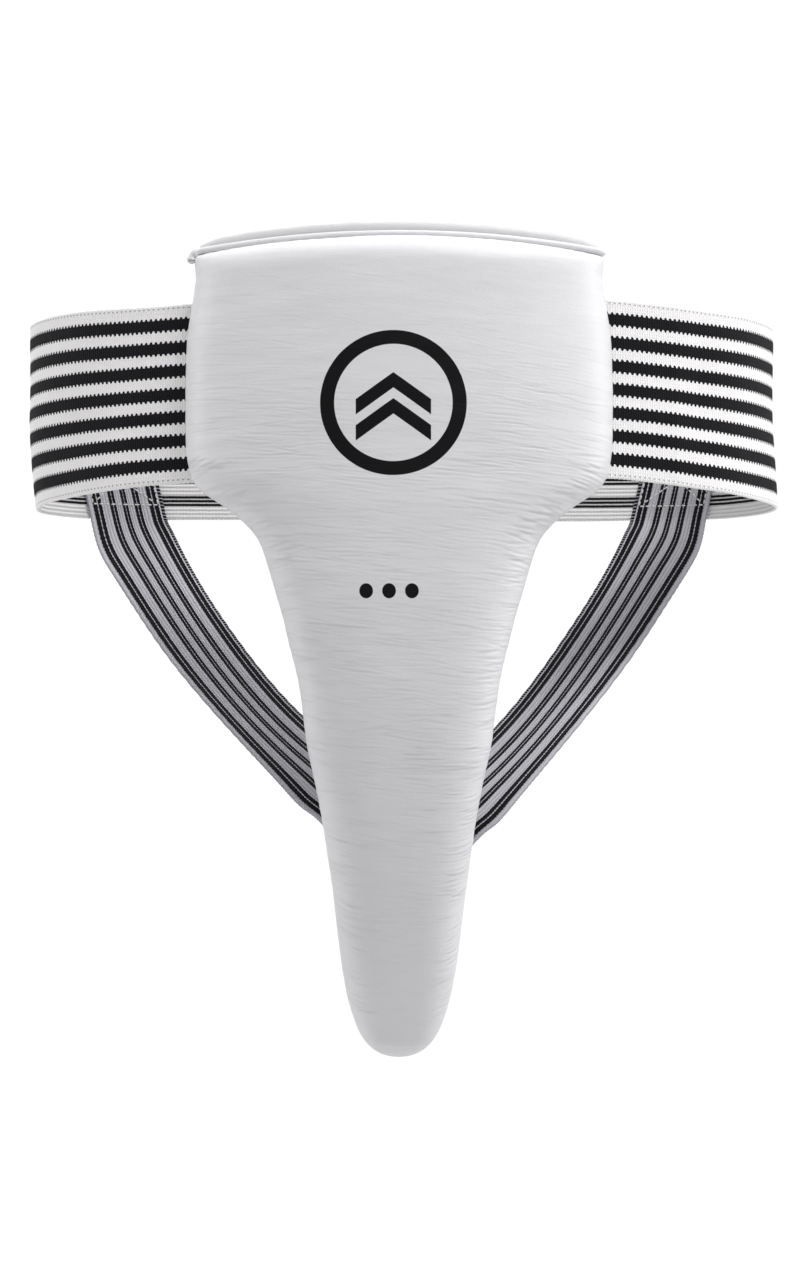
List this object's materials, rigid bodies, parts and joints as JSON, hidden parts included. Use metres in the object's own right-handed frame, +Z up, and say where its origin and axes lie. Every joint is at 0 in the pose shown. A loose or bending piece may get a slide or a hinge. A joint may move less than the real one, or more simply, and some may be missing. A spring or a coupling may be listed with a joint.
{
  "type": "groin protector",
  "caption": "Padded groin guard with a long tapering tail, a striped elastic waist belt closed at the back by hook and loop, and elastic leg straps.",
  "frame": {"origin": "centre of the waist opening, half way up the waist belt", "axes": "+Z up along the wearer's spine, the guard's face towards -Y, +X to the right as seen by somebody facing the guard"},
  "size_m": [0.3365, 0.1913, 0.3654],
  "materials": {
    "guard_leather": "white synthetic leather, satin, fine sideways creases",
    "piping_leather": "white synthetic leather over a cord",
    "cord": "twisted cotton cord",
    "firm_foam": "closed-cell foam",
    "soft_foam": "open-cell foam",
    "lining": "smooth woven lining",
    "belt_elastic": "ribbed knit elastic, white with black lengthwise stripes",
    "binding": "white synthetic leather strip",
    "loop_pile": "brushed loop pile",
    "hook_tape": "moulded hooks on woven tape",
    "tab_webbing": "plain woven webbing",
    "leg_elastic": "ribbed grey elastic with thin double black lines",
    "thread_grey": "polyester thread",
    "thread_white": "polyester thread",
    "thread_black": "polyester thread, mid grey"
  },
  "bodies": {
    "guard": {"front_cover": "guard_leather", "piping_cover": "piping_leather", "piping_cord": "cord", "impact_foam": "firm_foam", "comfort_foam": "soft_foam", "back_lining": "lining", "rim_seam_thread": "thread_grey", "left_belt_sewn_end": "belt_elastic", "right_belt_sewn_end": "belt_elastic", "left_belt_seam_thread": "thread_white", "right_belt_seam_thread": "thread_white", "left_strap_tail_thread": "thread_grey", "right_strap_tail_thread": "thread_grey"},
    "left_belt": {"left_belt_band": "belt_elastic", "left_end_binding": "binding", "loop_patch": "loop_pile", "loop_patch_thread": "thread_black", "left_leg_strap": "leg_elastic", "left_strap_belt_thread": "thread_grey"},
    "right_belt": {"right_belt_band": "belt_elastic", "right_end_binding": "binding", "closure_tab_sewn_end": "tab_webbing", "closure_tab_thread": "thread_black", "right_leg_strap": "leg_elastic", "right_strap_belt_thread": "thread_grey"},
    "closure_flap": {"closure_tab": "tab_webbing", "hook_patch": "hook_tape", "hook_patch_thread": "thread_black"}
  },
  "joints": [
    {"name": "right_belt_swing", "type": "hinge", "parent": "guard", "child": "right_belt", "pos_m": [0.096, -0.07669, 0], "axis": [0, 0, -1], "range_deg": [0, 50], "deforming": ["right_leg_strap"]},
    {"name": "left_belt_swing", "type": "hinge", "parent": "guard", "child": "left_belt", "pos_m": [-0.096, -0.07669, 0], "axis": [0, 0, 1], "range_deg": [0, 50], "deforming": ["left_leg_strap"]},
    {"name": "closure_tab_peel", "type": "hinge", "parent": "right_belt", "child": "closure_flap", "pos_m": [0.002, 0.06075, 0], "axis": [0, 0, -1], "range_deg": [0, 100]}
  ],
  "couplings": [
    {"joint": "left_belt_swing", "follows": "right_belt_swing", "ratio": 1}
  ]
}
